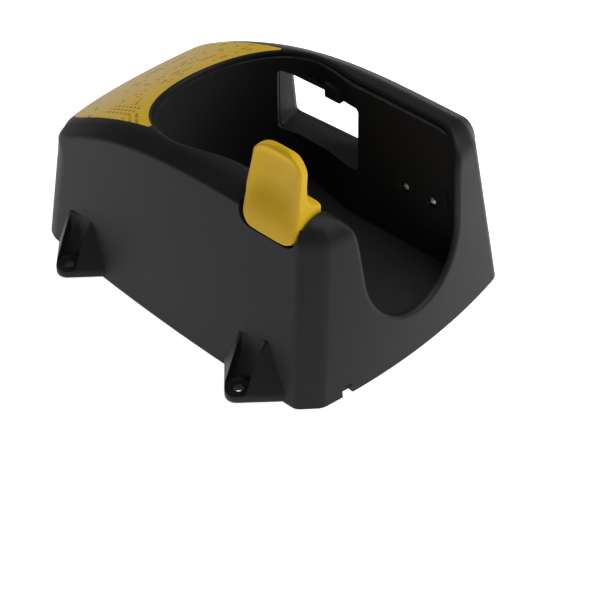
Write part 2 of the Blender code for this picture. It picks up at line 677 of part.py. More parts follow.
def build_board(parts, cutters):
    """Main circuit board on the base plate with its parts and the two sockets."""
    board = box("main_circuit_board", (-44, -38, 6.0), (44, 80, 7.6), parts)
    for i, (x, y) in enumerate(BOARD_POSTS):
        boolean(board, as_cutter(rod(f"board_hole_{i}", (x, y, 4), (x, y, 9), 1.5, cutters, sides=16)))
        screw(f"board_screw_{i + 1}", (x, y, 7.9), (0, 0, -1), 2.4, 1.4, 1.0, 5.6, parts)
    material(board, "circuit_green")
    shield = box("radio_shield_can", (-30, -24, 7.9), (-8, 2, 10.6), parts, 0.4)
    material(shield, "steel")
    for name, low, high, look in (
            ("processor_chip", (6, -20, 7.9), (20, -6, 9.4), "black_plastic"),
            ("charger_chip", (8, 4, 7.9), (18, 14, 9.4), "black_plastic"),
            ("power_inductor", (-28, 14, 7.9), (-18, 24, 11.4), "grey_plastic")):
        material(box(name, low, high, parts, 0.3), look)
    jack = box("power_jack", (16.5, 74, 7.9), (30.5, 96.2, 18.6), parts, 0.5)
    boolean(jack, as_cutter(rod("jack_bore", (23.5, 80, 13.2), (23.5, 104, 13.2), 3.2, cutters, sides=28)))
    boolean(jack, as_cutter(rod("jack_pin", (23.5, 77, 13.2), (23.5, 93.5, 13.2), 1.1, cutters, sides=16)), "UNION")
    material(jack, "black_plastic")
    socket = box("data_socket", (-22.4, 76, 7.9), (-5.6, 97.0, 20.4), parts, 0.4)
    boolean(socket, as_cutter(box("socket_mouth", (-20.2, 82, 10.4), (-7.8, 104, 18.0), cutters)))
    boolean(socket, as_cutter(box("socket_latch_slot", (-16.8, 82, 9.2), (-11.2, 104, 11.0), cutters)))
    material(socket, "grey_plastic")


def build_fasteners(parts):
    for i, (x, y) in enumerate(SCREW_POSTS):
        screw(f"housing_screw_{i + 1}", (x, y, 1.7), (0, 0, 1), 3.2, 1.1, 1.25, 10.6, parts)


def build_lever_spring(parts):
    obj = coil("lever_spring", (PIVOT[0], -48.7, PIVOT[1]), (PIVOT[0], -44.0, PIVOT[1]), 2.7, 0.35, 4, parts,
               legs=((-51.8, -48.7, 74.5), (-51.6, -44.0, 66.0)))
    spring_material(obj)


def shade(parts):
    for obj in parts.objects:
        if obj.type == "MESH":
            obj.data.shade_smooth()
            obj.data.set_sharp_from_angle(angle=math.radians(32))


def main():
    clear_scene()
    parts = collection("scanner_charging_cradle")
    cutters = collection("cutters")
    build_housing(parts, cutters)
    build_label(parts, cutters)
    build_liner(parts, cutters)
    build_base(parts, cutters)
    build_feet(parts)
    build_lever(parts, cutters)
    build_pivot(parts, cutters)
    build_lever_spring(parts)
    build_contacts(parts, cutters)
    build_board(parts, cutters)
    build_fasteners(parts)
    shade(parts)
    for obj in list(parts.objects) + list(cutters.objects):
        obj.location.y -= CENTRE_Y * MM


main()
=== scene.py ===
"""Looks of the charging and communication cradle of a handheld barcode scanner.

Lengths in the sections are millimetres in the drawing frame of the cradle: X across, -Y to the
front with the U notch, Z up from the table. place() turns them into metres in the CAD frame.
"""
import math

import bmesh
import bpy
import numpy as np
from mathutils import Matrix, Vector
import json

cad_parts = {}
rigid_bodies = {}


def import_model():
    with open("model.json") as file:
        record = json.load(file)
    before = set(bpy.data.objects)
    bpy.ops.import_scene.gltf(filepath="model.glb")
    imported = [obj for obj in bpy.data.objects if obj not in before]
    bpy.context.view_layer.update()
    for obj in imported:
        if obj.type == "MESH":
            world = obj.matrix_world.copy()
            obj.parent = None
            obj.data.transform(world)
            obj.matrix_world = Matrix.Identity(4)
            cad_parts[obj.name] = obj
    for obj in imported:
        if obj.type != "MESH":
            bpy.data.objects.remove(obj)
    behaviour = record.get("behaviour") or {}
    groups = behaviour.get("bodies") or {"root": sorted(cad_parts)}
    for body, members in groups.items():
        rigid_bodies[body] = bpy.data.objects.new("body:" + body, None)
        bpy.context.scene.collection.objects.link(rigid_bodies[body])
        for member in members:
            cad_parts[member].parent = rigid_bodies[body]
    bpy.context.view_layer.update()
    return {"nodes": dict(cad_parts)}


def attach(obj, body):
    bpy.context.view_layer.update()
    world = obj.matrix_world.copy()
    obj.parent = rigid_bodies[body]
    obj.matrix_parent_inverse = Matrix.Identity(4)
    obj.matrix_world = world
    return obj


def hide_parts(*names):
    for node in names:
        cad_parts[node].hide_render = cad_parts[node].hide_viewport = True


for startup_object in list(bpy.data.objects):
    bpy.data.objects.remove(startup_object, do_unlink=True)
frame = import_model()

# ---------------------------------------------------------------------------------------------
# Housing: one injection-moulded shell of black ABS with a fine spark-eroded texture. Barrelled
# sides, bevelled shoulders, a keyhole opening that runs down the front as the U notch, and four
# screw ears. It is held to the base plate by four screws from below.
# ---------------------------------------------------------------------------------------------
FOOTPRINT_MIDDLE = 2.8
SKIRT_Z = 0.6
WALL = 2.4
MM = 0.001
SHELL_HEART = np.array([0.0, -2.0, 30.0])
COLUMNS = 440
SKIN_ROWS = 76
SIDE_HALF, SIDE_BARREL, BARREL_MIDDLE, SIDE_LEAN = 67.8, 4.225e-4, -53.0, 0.148
FRONT_LEAN, FRONT_BOW, REAR_LEAN = 0.081, 5.7, 0.115
TOP_Z, TOP_FALL, FALL_START, FALL_RUN = 89.2, 28.1, -42.0, 124.5
CHANNEL_HALF, WELL_RADIUS, WELL_MIDDLE = 39.3, 44.6, 5.0


def place(points):
    """Drawing millimetres to metres in the CAD frame, whose origin is the footprint's middle."""
    return (np.asarray(points, float) - (0, FOOTPRINT_MIDDLE, 0)) * MM


def unit(vectors):
    """Vectors divided by their own length."""
    return vectors / np.linalg.norm(vectors, axis=-1, keepdims=True)


def blunt(a, b, radius):
    """The greater of two distances, with their crease rounded to a radius."""
    over = np.hypot(np.maximum(radius + a, 0), np.maximum(radius + b, 0))
    return np.minimum(-radius, np.maximum(a, b)) + over


def crown(y):
    """Height of the top: level in front, then falling away as the 2.5th power of the distance."""
    return TOP_Z - TOP_FALL * (np.maximum(0, y - FALL_START) / FALL_RUN) ** 2.5


def half_width(y, z):
    """Half width of the side walls: a parabola along the sides, less a lean with height."""
    return SIDE_HALF - SIDE_BARREL * (y - BARREL_MIDDLE) ** 2 - SIDE_LEAN * z


def skin_gap(points):
    """How far a point stands outside the housing's skin.

    The greatest of side, front, rear and top distances. The top rolls into the front and the
    rear over a radius, and a flat band bevels the edge between the sides and all the others.
    """
    x, y, z = np.moveaxis(points, -1, 0)
    side = (np.abs(x) - SIDE_HALF + SIDE_BARREL * (y - BARREL_MIDDLE) ** 2 + SIDE_LEAN * z) / 1.011
    front_bow = FRONT_BOW * (1 - np.clip(x / (59.2 - SIDE_LEAN * z), -1, 1) ** 2)
    rear_bow = (10.3 + 0.02 * z) * (1 - np.clip(x / (53.8 - SIDE_LEAN * z), -1, 1) ** 2)
    front = (-92.0 + FRONT_LEAN * z - front_bow - y) / 1.01
    rear = (y - 93.0 + REAR_LEAN * z - rear_bow) / 1.03
    slope = 0.564 * (np.maximum(0, y - FALL_START) / FALL_RUN) ** 1.5
    top = (z - crown(y)) / np.hypot(1, slope)
    face = blunt(blunt(front, top, 12.5), rear, 6.0)
    level = np.clip((top - np.maximum(front, rear)) / 16 + 0.5, 0, 1)
    level = level * level * (3 - 2 * level)
    corner = np.where(rear > front, 5.0, 8.0)
    drop = corner * (1 - level) + 4.5 * level
    reach = corner * (1 - level) + 8.0 * level
    band = (side / reach + face / drop + 1) / np.hypot(1 / reach, 1 / drop)
    softness = 1.3 + 3.5 * (1 - level) * (rear > front)
    return blunt(blunt(side, band, softness), face, softness)


def skin_normal(points):
    """Outward normal of the skin: the steepest way up of skin_gap, by central differences."""
    step = 0.02
    steps = np.eye(3) * step
    return unit(np.stack([skin_gap(points + s) - skin_gap(points - s) for s in steps], -1))


def halved(low, high, is_inside, steps=30):
    """Greatest value between low and high that is still inside, by halving the gap."""
    for _ in range(steps):
        half = (low + high) / 2
        inside = is_inside(half)
        low, high = np.where(inside, half, low), np.where(inside, high, half)
    return low


def cast(heart, ways):
    """Point on each ray from the heart where it leaves the skin."""
    shape = ways.shape[:-1]
    reach = halved(np.full(shape, 4.0), np.full(shape, 190.0),
                   lambda half: skin_gap(heart + ways * half[..., None]) < 0)
    return heart + ways * reach[..., None]


def on_skin(points):
    """The skin point in the same direction from the shell's heart."""
    return cast(SHELL_HEART, unit(points - SHELL_HEART))


def run_length(line):
    """Distance along a line of points, starting at 0."""
    steps = np.linalg.norm(np.diff(line, axis=0), axis=-1)
    return np.concatenate([[0], np.cumsum(steps)])


def along(line, distances):
    """Points at given distances along a line."""
    run = run_length(line)
    return np.stack([np.interp(distances, run, line[:, i]) for i in range(line.shape[1])], -1)


def rounded(line, width):
    """A line with its corners softened: a running mean over a width of neighbours, taken twice."""
    window = np.ones(2 * width + 1) / (2 * width + 1)
    for _ in range(2):
        head = 2 * line[:1] - line[width:0:-1]
        tail = 2 * line[-1:] - line[-2:-width - 2:-1]
        padded = np.concatenate([head, line, tail])
        line = np.stack([np.convolve(column, window, "valid") for column in padded.T], -1)
    return line


def arc(cx, cy, radius, start, end, count=24):
    """Points on a circle between two angles in degrees."""
    angle = np.radians(np.linspace(start, end, count))
    return np.stack([cx + radius * np.cos(angle), cy + radius * np.sin(angle)], -1)


def mirrored(right):
    """A line on the right from the front's middle to the rear's, and back on the left."""
    left = right[::-1] * (-1, 1, 1)
    return np.concatenate([right, left[1:-1]])


def well_plan(*channel):
    """Channel points, then the flare into the round well and its arc to the rear, (x, y)."""
    flare = [(CHANNEL_HALF, -22.0), (40.9, -14.0), (42.9, -6.0)]
    return np.concatenate([[*channel, *flare], arc(0, WELL_MIDDLE, WELL_RADIUS, 0, 90, 40)])


def opening_rim():
    """Right half of the opening's edge: half an ellipse for the notch, flare, channel and well."""
    turn = np.radians(np.linspace(0, 90, 40))
    notch_x = 30.0 * np.sin(turn)
    notch_z = 55.0 - 32.7 * np.cos(turn)
    notch_y = -97.7 + FRONT_LEAN * notch_z + FRONT_BOW * (notch_x / 54) ** 2
    notch = np.stack([notch_x, notch_y, notch_z], -1)
    flare = np.array([(30.6, -88.6, 68.0), (31.4, -88.0, 75.0), (33.0, -87.0, 81.5),
                      (35.6, -84.6, 86.4), (38.2, -80.0, 88.9), (CHANNEL_HALF, -74.0, TOP_Z)])
    plan = well_plan((CHANNEL_HALF, -50.0))
    rim = np.concatenate([notch, flare, np.column_stack([plan, crown(plan[:, 1])])])
    rim = along(rim, np.linspace(0, run_length(rim)[-1], 700))
    eased = rounded(rim, 7)
    eased[0, 0] = eased[-1, 0] = 0
    return eased


def skirt_line():
    """Right half of the skirt's lower edge, from the front's middle to the rear's middle."""
    angle = np.radians(np.linspace(-90, 90, 1500))
    ways = np.stack([np.cos(angle), np.sin(angle), np.zeros_like(angle)], -1)
    return cast(np.array([0.0, -2.0, SKIRT_Z]), ways)


def shell_columns():
    """Matching points of the skirt and the opening, closer together where the skirt turns."""
    skirt, rim = skirt_line(), opening_rim()
    run = run_length(skirt)
    heading = np.unwrap(np.arctan2(*np.gradient(skirt, axis=0)[:, :2].T))
    effort = run + 26.0 * np.concatenate([[0], np.cumsum(np.abs(np.diff(heading)))])
    stops = np.interp(np.linspace(0, effort[-1], COLUMNS // 2 + 1), effort, run)
    whole = run[-1]
    skirt_marks = np.array([0, 0.135, 0.245, 0.44, 0.55, 0.80, 1.0]) * whole
    rim_marks = np.array([0, 49.0, 86.0, 138.0, 158.0, 192.0, run_length(rim)[-1]])
    matching = rounded(np.interp(stops, skirt_marks, rim_marks)[:, None], 9)[:, 0]
    matching[0], matching[-1] = 0, rim_marks[-1]
    return mirrored(along(skirt, stops)), mirrored(along(rim, matching))


def between(start, end, share):
    """Directions turned evenly from start to end, share 0 to 1."""
    turn = np.arccos(np.clip((start * end).sum(-1, keepdims=True), -1, 1))
    return unit(np.sin((1 - share) * turn) * start + np.sin(share * turn) * end)


def even_rows(start, end, rows):
    """Skin rows from skirt to opening, crowded where the skin bends."""
    share = np.linspace(0, 1, 260)
    trial = cast(SHELL_HEART, between(start[:, None], end[:, None], share[None, :, None]))
    normals = skin_normal(trial)
    steps = np.linalg.norm(np.diff(trial, axis=1), axis=-1)
    bends = np.linalg.norm(np.diff(normals, axis=1), axis=-1)
    effort = steps / steps.sum(1, keepdims=True) + 0.30 * bends
    padded = np.concatenate([effort[-6:], effort, effort[:6]])
    effort = sum(padded[i:i + len(effort)] for i in range(13)) / 13
    total = np.concatenate([np.zeros((len(effort), 1)), np.cumsum(effort, 1)], 1)
    marks = np.linspace(0, 1, rows)
    chosen = np.stack([np.interp(marks * t[-1], t, share) for t in total])
    return cast(SHELL_HEART, between(start[:, None], end[:, None], chosen[..., None]))


def rim_tangent(points, normals):
    """Unit vector across a closed edge, in the skin and away from the row before it."""
    edge = np.roll(points, -1, 0) - np.roll(points, 1, 0)
    return unit(np.cross(edge, normals))


def housing_grid():
    """Closed grid of the shell: skin, rounded lip, inner face, and the skirt's lower edge."""
    skirt, rim = shell_columns()
    rim = on_skin(rim)
    normal = skin_normal(rim)
    across = rim_tangent(rim, normal)
    across *= np.sign((across * (rim - skirt)).sum(-1, keepdims=True).mean())
    lip = np.interp(-rim[:, 1], [5.0, 40.0], [1.2, 2.3])[:, None]
    rim = on_skin(rim - across * lip)
    skin = even_rows(unit(skirt - SHELL_HEART), unit(rim - SHELL_HEART), SKIN_ROWS)
    normals = skin_normal(skin)
    edge, normal = skin[:, -1], normals[:, -1]
    rows = list(np.moveaxis(skin, 1, 0))
    for turn in np.radians((18, 36, 54, 72, 90)):
        rows.append(edge + across * lip * math.sin(turn) - normal * lip * (1 - math.cos(turn)))
    rows.append(edge + across * lip - normal * WALL)
    rows.append(edge - normal * WALL)
    inner = (skin - WALL * normals)[:, ::-3]
    rows += list(np.moveaxis(inner[:, 1:-1], 1, 0))
    inner_foot = skin[:, 0] - WALL * normals[:, 0] * (1, 1, 0)
    inner_foot[:, 2] = SKIRT_Z
    rows.append(inner_foot)
    return np.stack(rows, 1)


def grid_object(name, points, around=True, along_rows=True, caps=False, merge=0.0):
    """Mesh from a grid of points (columns, rows), closed round the columns and rows if asked."""
    columns, rows = points.shape[:2]
    index = np.arange(columns * rows).reshape(columns, rows)
    if around:
        index = np.concatenate([index, index[:1]])
    if along_rows:
        index = np.concatenate([index, index[:, :1]], 1)
    a, b = index[:-1, :-1], index[1:, :-1]
    c, d = index[1:, 1:], index[:-1, 1:]
    faces = np.stack([a, b, c, d], -1).reshape(-1, 4).tolist()
    if caps:
        faces += [index[:-1, 0].tolist()[::-1], index[:-1, -1].tolist()] if around else \
                 [index[0, :-1].tolist(), index[-1, :-1].tolist()[::-1]]
    mesh = bpy.data.meshes.new(name)
    mesh.from_pydata(place(points.reshape(-1, 3)), [], faces)
    tidy_mesh(mesh, merge)
    made = bpy.data.objects.new(name, mesh)
    bpy.context.scene.collection.objects.link(made)
    return made


def tidy_mesh(mesh, merge=0.0):
    """Merge doubled points, turn the faces outward and shade them smooth."""
    work = bmesh.new()
    work.from_mesh(mesh)
    if merge:
        bmesh.ops.remove_doubles(work, verts=work.verts, dist=merge * MM)
        bmesh.ops.dissolve_degenerate(work, dist=merge * 0.0005, edges=work.edges)
    bmesh.ops.recalc_face_normals(work, faces=work.faces)
    if work.calc_volume(signed=True) < 0:
        bmesh.ops.reverse_faces(work, faces=work.faces)
    work.to_mesh(mesh)
    work.free()
    mesh.shade_smooth()


def prism(name, outline, low, high, axis):
    """Solid of an outline swept along an axis: x takes (y, z), y takes (x, z), z takes (x, y)."""
    outline = np.asarray(outline, float)
    ends = [np.insert(outline, "xyz".index(axis), depth, axis=1) for depth in (low, high)]
    return grid_object(name, np.stack(ends, 1), along_rows=False, caps=True)


def block(name, low, high):
    """Box between two corners."""
    (x0, y0, z0), (x1, y1, z1) = low, high
    return prism(name, [(x0, y0), (x1, y0), (x1, y1), (x0, y1)], z0, z1, "z")


def turned(name, profile, centre, axis, steps=48):
    """Solid of (radius, height) points turned about an axis through a centre."""
    profile = np.asarray(profile, float)
    angle = np.linspace(0, 2 * math.pi, steps, endpoint=False)[:, None]
    ring = [profile[:, 0] * np.cos(angle), profile[:, 0] * np.sin(angle), profile[:, 1] + 0 * angle]
    order = {"x": (2, 0, 1), "y": (1, 2, 0), "z": (0, 1, 2)}[axis]
    points = np.stack([ring[i] for i in order], -1) + np.asarray(centre, float)
    return grid_object(name, points, along_rows=False, merge=0.001)


def cut(obj, *tools, operation="DIFFERENCE"):
    """Cut tools from a piece, or join them to it, and leave one plain mesh."""
    for tool in tools:
        step = obj.modifiers.new(tool.name, "BOOLEAN")
        step.operation = operation
        step.object = tool
        step.solver = "MANIFOLD"
    settle(obj)
    for tool in tools:
        bpy.data.objects.remove(tool, do_unlink=True)


def settle(obj):
    """Replace a piece's mesh with what its modifiers make of it."""
    bpy.context.view_layer.update()
    graph = bpy.context.evaluated_depsgraph_get()
    made = bpy.data.meshes.new_from_object(obj.evaluated_get(graph))
    obj.modifiers.clear()
    obj.data = made


def crisp(obj, angle=38.0):
    """Smooth shading that stays sharp where faces meet at more than an angle."""
    obj.data.shade_smooth()
    obj.data.set_sharp_from_angle(angle=math.radians(angle))


def ear(name, sign, y, reach, spread):
    """Screw ear: the hull of a round tab and a sloped buttress that runs up the side wall."""
    root = half_width(y, 0)
    tip = arc(reach - 5.5, y, 5.5, -80, 80, 17)
    corners = [(x, v, z) for x, v in tip for z in (SKIRT_Z, 4.4)]
    corners += [(root - 7, y + s * spread, z) for s in (-1, 1) for z in (SKIRT_Z, 4.0)]
    for along_wall, top in ((-6.3, 27.5), (11.2, 23.5)):
        corners += [(half_width(y, top) - 0.6, y + along_wall, top),
                    (root - 7, y + along_wall, top - 1.5)]
    work = bmesh.new()
    for corner in place(np.array(corners) * (sign, 1, 1)):
        work.verts.new(corner)
    hull = bmesh.ops.convex_hull(work, input=work.verts)
    bmesh.ops.delete(work, geom=hull["geom_interior"], context="VERTS")
    bmesh.ops.dissolve_limit(work, angle_limit=math.radians(3), verts=work.verts, edges=work.edges)
    bmesh.ops.recalc_face_normals(work, faces=work.faces)
    mesh = bpy.data.meshes.new(name)
    work.to_mesh(mesh)
    work.free()
    made = bpy.data.objects.new(name, mesh)
    bpy.context.scene.collection.objects.link(made)
    ease = made.modifiers.new("ease", "BEVEL")
    ease.width = 0.0011
    ease.segments = 3
    ease.angle_limit = math.radians(25)
    settle(made)
    return made


SCOOP_FLOOR = 5.6
SCOOP_RINGS = ((4.6, 5.0), (4.85, 5.8), (SCOOP_FLOOR, 6.3), (11.0, 6.3), (16.0, 6.5), (22.0, 7.0),
               (30.0, 7.3))


def scoop(name, sign, y, reach):
    """Pocket between the ear's two ribs: round about the screw below, wide and shallow above.

    Each ring of SCOOP_RINGS (height, radius) is half a superellipse whose back slides from
    behind the screw to the side wall.
    """
    rings = []
    turn = np.radians(np.linspace(90, 270, 29))
    for z, radius in SCOOP_RINGS:
        lean = max(0.0, z - SCOOP_FLOOR) / 22.4
        steep = min(1.0, max(0.0, z - SCOOP_FLOOR) / 9.4)
        back = reach - 12.8 + (half_width(y, z) - 0.05 - reach + 12.8) * steep
        deep = 6.3 * (1 - 0.75 * min(lean, 1.0))
        boxy = 1.0 - 0.55 * min(1.0, 2.5 * lean)
        middle = y + 2.3 * lean
        sway = np.sign(np.sin(turn)) * np.abs(np.sin(turn)) ** boxy
        half = np.column_stack([back + deep - deep * np.abs(np.cos(turn)) ** boxy,
                                middle + radius * sway])
        out = [(reach + 20, middle - radius), (reach + 20, middle + radius)]
        ring = np.concatenate([out, half]) * (sign, 1)
        rings.append(np.column_stack([ring, np.full(len(ring), z)]))
    return grid_object(name, np.stack(rings, 1), along_rows=False, caps=True)


def lever_seat(grow, sink=0.0):
    """Seat of the lever in the left rail: flat sides and a floor with round corners, (y, z)."""
    front, rear, low, radius = -75.2 - grow, -43.3 + grow, 76.6 - grow - sink, 6.0 + grow
    return np.concatenate([[(rear, 120), (front, 120)],
                           arc(front + radius, low + radius, radius, 180, 270, 12),
                           arc(rear - radius, low + radius, radius, 270, 360, 12)])


WINDOW_NEAR_X, WINDOW_DEPTH, WINDOW_CORNER = 36.0, 32.0, 3.0
WINDOW_NEAR = np.array([(-26.3, 42.3), (25.0, 42.3), (25.0, 74.6), (-26.3, 76.2)])
WINDOW_FAR = np.array([(-7.2, 34.5), (38.6, 34.0), (38.6, 62.8), (-7.2, 63.5)])


def window_ring(x, grow=0.0):
    """Outline of the side window at a depth x, splayed towards the inside, (x, y, z).

    A straight blend of the near and far corners; each corner is a quadratic curve.
    """
    quad = WINDOW_NEAR + (WINDOW_FAR - WINDOW_NEAR) * ((x - WINDOW_NEAR_X) / WINDOW_DEPTH)
    quad = quad + np.sign(quad - quad.mean(0)) * grow
    share = np.linspace(0, 1, 10)[:, None]
    ring = []
    for i in range(4):
        here, before, after = quad[i], quad[i - 1], quad[(i + 1) % 4]
        start = here + unit(before - here) * (WINDOW_CORNER + grow)
        end = here + unit(after - here) * (WINDOW_CORNER + grow)
        ring.append((1 - share) ** 2 * start + 2 * share * (1 - share) * here + share ** 2 * end)
    ring = np.concatenate(ring)
    return np.column_stack([np.full(len(ring), x), ring])


def window_plug(name, low, high):
    """Solid that fills the side window between two depths."""
    rings = [window_ring(x) for x in np.linspace(low, high, 9)]
    return grid_object(name, np.stack(rings, 1), along_rows=False, caps=True)


EARS = (("rear_right", 1, 59.0, 77.3, 24.0), ("rear_left", -1, 59.0, 77.3, 24.0),
        ("front_right", 1, -59.0, 83.4, 25.0), ("front_left", -1, -59.0, 83.4, 25.0))

housing = grid_object("housing_shell", housing_grid())
cut(housing, *[ear("ear_" + place_name, *sizes) for place_name, *sizes in EARS], operation="UNION")
tools = [scoop("scoop_" + place_name, sign, y, reach) for place_name, sign, y, reach, _ in EARS]
for place_name, sign, y, reach, _ in EARS:
    tools.append(turned("hole_" + place_name, [(0, -4), (2.4, -4), (2.4, 9), (0, 9)],
                        (sign * (reach - 6.5), y, 0), "z"))
tools.append(prism("lever_seat", lever_seat(0.6), -80, -30, "x"))
tools.append(window_plug("window", 50, 76))
tools.append(block("jack_window", (15.3, 80, 6.8), (31.7, 120, 19.4)))
tools.append(block("socket_window", (-23.6, 80, 6.8), (-4.4, 120, 21.4)))
tools.append(block("edge_notch", (-48, -110, -5), (-42.5, -85, 5.5)))
cut(housing, *tools)
cut(housing, block("skirt_pad", (-5.5, -97.2, SKIRT_Z), (7.0, -95.2, 3.0)), operation="UNION")
crisp(housing)
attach(housing, "cradle")
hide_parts("top_housing")


class Wire:
    """A shader value; arithmetic on it adds Math nodes to its finish."""

    def __init__(self, finish, socket):
        self.finish = finish
        self.socket = socket

    def math(self, operation, first, second):
        return self.finish.math(operation, first, second)

    def __add__(self, other):
        return self.math("ADD", self, other)

    def __radd__(self, other):
        return self.math("ADD", other, self)

    def __sub__(self, other):
        return self.math("SUBTRACT", self, other)

    def __rsub__(self, other):
        return self.math("SUBTRACT", other, self)

    def __mul__(self, other):
        return self.math("MULTIPLY", self, other)

    def __rmul__(self, other):
        return self.math("MULTIPLY", other, self)

    def __truediv__(self, other):
        return self.math("DIVIDE", self, other)

    def __pow__(self, other):
        return self.math("POWER", self, other)

    def fraction(self):
        return self.math("FRACT", self, 0.0)

    def part(self, axis):
        """X, Y or Z of a vector."""
        return self.finish.add("ShaderNodeSeparateXYZ", {}, {"Vector": self}, axis)

    def __lt__(self, other):
        return self.math("LESS_THAN", self, other)

    def __gt__(self, other):
        return self.math("GREATER_THAN", self, other)


class Finish:
    """A material on one Principled shader; add() makes any other node."""

    def __init__(self, name, **constants):
        self.material = bpy.data.materials.new(name)
        self.material.use_nodes = True
        self.tree = self.material.node_tree
        self.shader = self.tree.nodes["Principled BSDF"]
        for key, value in constants.items():
            self.shader.inputs[key.replace("_", " ")].default_value = value

    def feed(self, socket, value):
        """Link a wire into a socket, or write a plain value there."""
        if isinstance(value, Wire):
            self.tree.links.new(value.socket, socket)
        elif isinstance(value, tuple) and len(value) == 3 and socket.type == "RGBA":
            socket.default_value = (*value, 1)
        else:
            socket.default_value = value

    def add(self, kind, settings=None, values=None, output=0):
        """A node of a type, with its settings, and the values or wires of its sockets."""
        node = self.tree.nodes.new(kind)
        for key, value in (settings or {}).items():
            setattr(node, key, value)
        for key, value in (values or {}).items():
            self.feed(node.inputs[key], value)
        return Wire(self, node.outputs[output])

    def math(self, operation, first, second):
        """One Math node."""
        return self.add("ShaderNodeMath", {"operation": operation}, {0: first, 1: second})

    def place(self):
        """Object coordinates, in metres of the CAD frame."""
        return self.add("ShaderNodeTexCoord", output="Object")

    def noise(self, scale, detail=2.0, roughness=0.5):
        """Cloudy value from 0 to 1; scale is in cycles per metre."""
        return self.add("ShaderNodeTexNoise", {}, {
            "Vector": self.place(), "Scale": scale, "Detail": detail, "Roughness": roughness})

    def ramp(self, value, low, high):
        """0 below low, 1 above high, smooth between."""
        return self.add("ShaderNodeMapRange", {"interpolation_type": "SMOOTHSTEP"}, {
            "Value": value, "From Min": low, "From Max": high})

    def mix(self, share, first, second):
        """Colour between two colours."""
        return self.add("ShaderNodeMix", {"data_type": "RGBA"}, {0: share, 6: first, 7: second}, 2)

    def bump(self, height, distance):
        """Normal of a relief, its height 0 to 1 over a distance in metres."""
        return self.add("ShaderNodeBump", {}, {
            "Height": height, "Distance": distance, "Strength": 1.0})

    def edges(self):
        """1 on outer edges and corners, 0 on flats."""
        return self.ramp(self.add("ShaderNodeNewGeometry", output="Pointiness"), 0.515, 0.60)

    def to(self, **links):
        """Feed the shader's sockets, and give back the material."""
        for key, value in links.items():
            self.feed(self.shader.inputs[key.replace("_", " ")], value)
        return self.material


def moulded(name, dark, light, rough, grain=0.00004, sheen=0.17):
    """Spark-eroded moulding: fine pitted relief, faint clouding, and rubbed edges."""
    finish = Finish(name, IOR=1.5, Specular_IOR_Level=sheen)
    pits = finish.noise(1700.0, 3.0, 0.65)
    fine = finish.noise(5200.0, 1.0)
    cloud = finish.noise(26.0, 4.0, 0.6)
    streak = finish.noise(7.0, 2.0)
    worn = finish.edges() * finish.ramp(finish.noise(160.0, 3.0), 0.42, 0.66)
    share = 0.55 * cloud + 0.25 * pits + 0.45 * worn - 0.1
    relief = pits * 0.75 + fine * 0.25
    gloss = (rough + 0.10 * (pits - 0.5) + 0.10 * (cloud - 0.5) - 0.06 * worn
             + 0.05 * (streak - 0.5))
    return finish.to(Base_Color=finish.mix(share, dark, light), Roughness=gloss,
                     Normal=finish.bump(relief, grain))


def coat(piece, finish_made):
    """Give a piece one material in place of any that it has."""
    piece.data.materials.clear()
    piece.data.materials.append(finish_made)


HOUSING_DARK, HOUSING_LIGHT = (0.0065, 0.0066, 0.0072), (0.0145, 0.0145, 0.0152)
coat(housing, moulded("housing_abs", HOUSING_DARK, HOUSING_LIGHT, 0.47))

# ---------------------------------------------------------------------------------------------
# Well tray: the inner moulding that the scanner's head drops into. Round well, straight channel,
# flat floor, and the splayed sleeve of the side window. It snaps up under the housing's opening.
# ---------------------------------------------------------------------------------------------
FLOOR_Z = 15.0
TRAY_WALL = 2.2
FOOT_RADIUS = 3.2
TRAY_GAP = 0.12
TRAY_DRAFT = 3.2
CEILING_DROP = ([70, 74, 80, 84, 87, 88.5, 90.5], [0, 0.3, 1.0, 2.0, 3.4, 4.4, 6.5])
CONTACT_PLACES = ((38.0, -55.4, 47.4), (38.0, -71.3, 47.4))
TRAY_DARK, TRAY_LIGHT = (0.0190, 0.0180, 0.0178), (0.0330, 0.0315, 0.0310)


def tray_plan():
    """Right half of the tray's outline at the top, from the front to the rear's middle, (x, y)."""
    line = well_plan((CHANNEL_HALF, -90.5), (CHANNEL_HALF, -80.6), (CHANNEL_HALF, -65.0))
    line = along(line, np.linspace(0, run_length(line)[-1], 420))
    line = rounded(line, 3)
    line[-1, 0] = 0
    return line


def tray_surface(columns=130, rows=44, floor_rows=16):
    """Inner face of the tray's right half: wall, round foot, and floor to the spine, as a grid."""
    plan = tray_plan()
    plan = along(plan, np.linspace(0, run_length(plan)[-1], columns))
    ahead = np.gradient(plan, axis=0)
    inward = unit(np.stack([-ahead[:, 1], ahead[:, 0]], -1))
    inward[-1] = (0, -1)
    inward[0] = (-1, 0)
    ceiling = crown(plan[:, 1]) - WALL - TRAY_GAP
    ceiling -= np.interp(-plan[:, 1], *CEILING_DROP)
    lines = []
    for share in np.linspace(0, 1, rows):
        z = ceiling + (FLOOR_Z + FOOT_RADIUS - ceiling) * share
        line = plan + inward * (TRAY_DRAFT * share - 0.3)
        lines.append(np.column_stack([line, z]))
    foot = lines[-1]
    for turn in np.radians(np.linspace(15, 90, 6)):
        step = FOOT_RADIUS * (1 - math.cos(turn))
        shift = np.column_stack([inward * step, np.full(columns, -FOOT_RADIUS * math.sin(turn))])
        lines.append(foot + shift)
    edge = lines[-1]
    spine = np.column_stack([np.zeros(columns), np.minimum(edge[:, 1], 5.0), edge[:, 2]])
    for share in np.linspace(0, 1, floor_rows)[1:]:
        lines.append(edge + (spine - edge) * share)
    return np.stack(lines, 1)


def both_sides(surface):
    """Right half and its mirror, columns running on through the rear's middle."""
    left = surface[::-1] * (-1, 1, 1)
    return np.concatenate([surface, left[1:]])


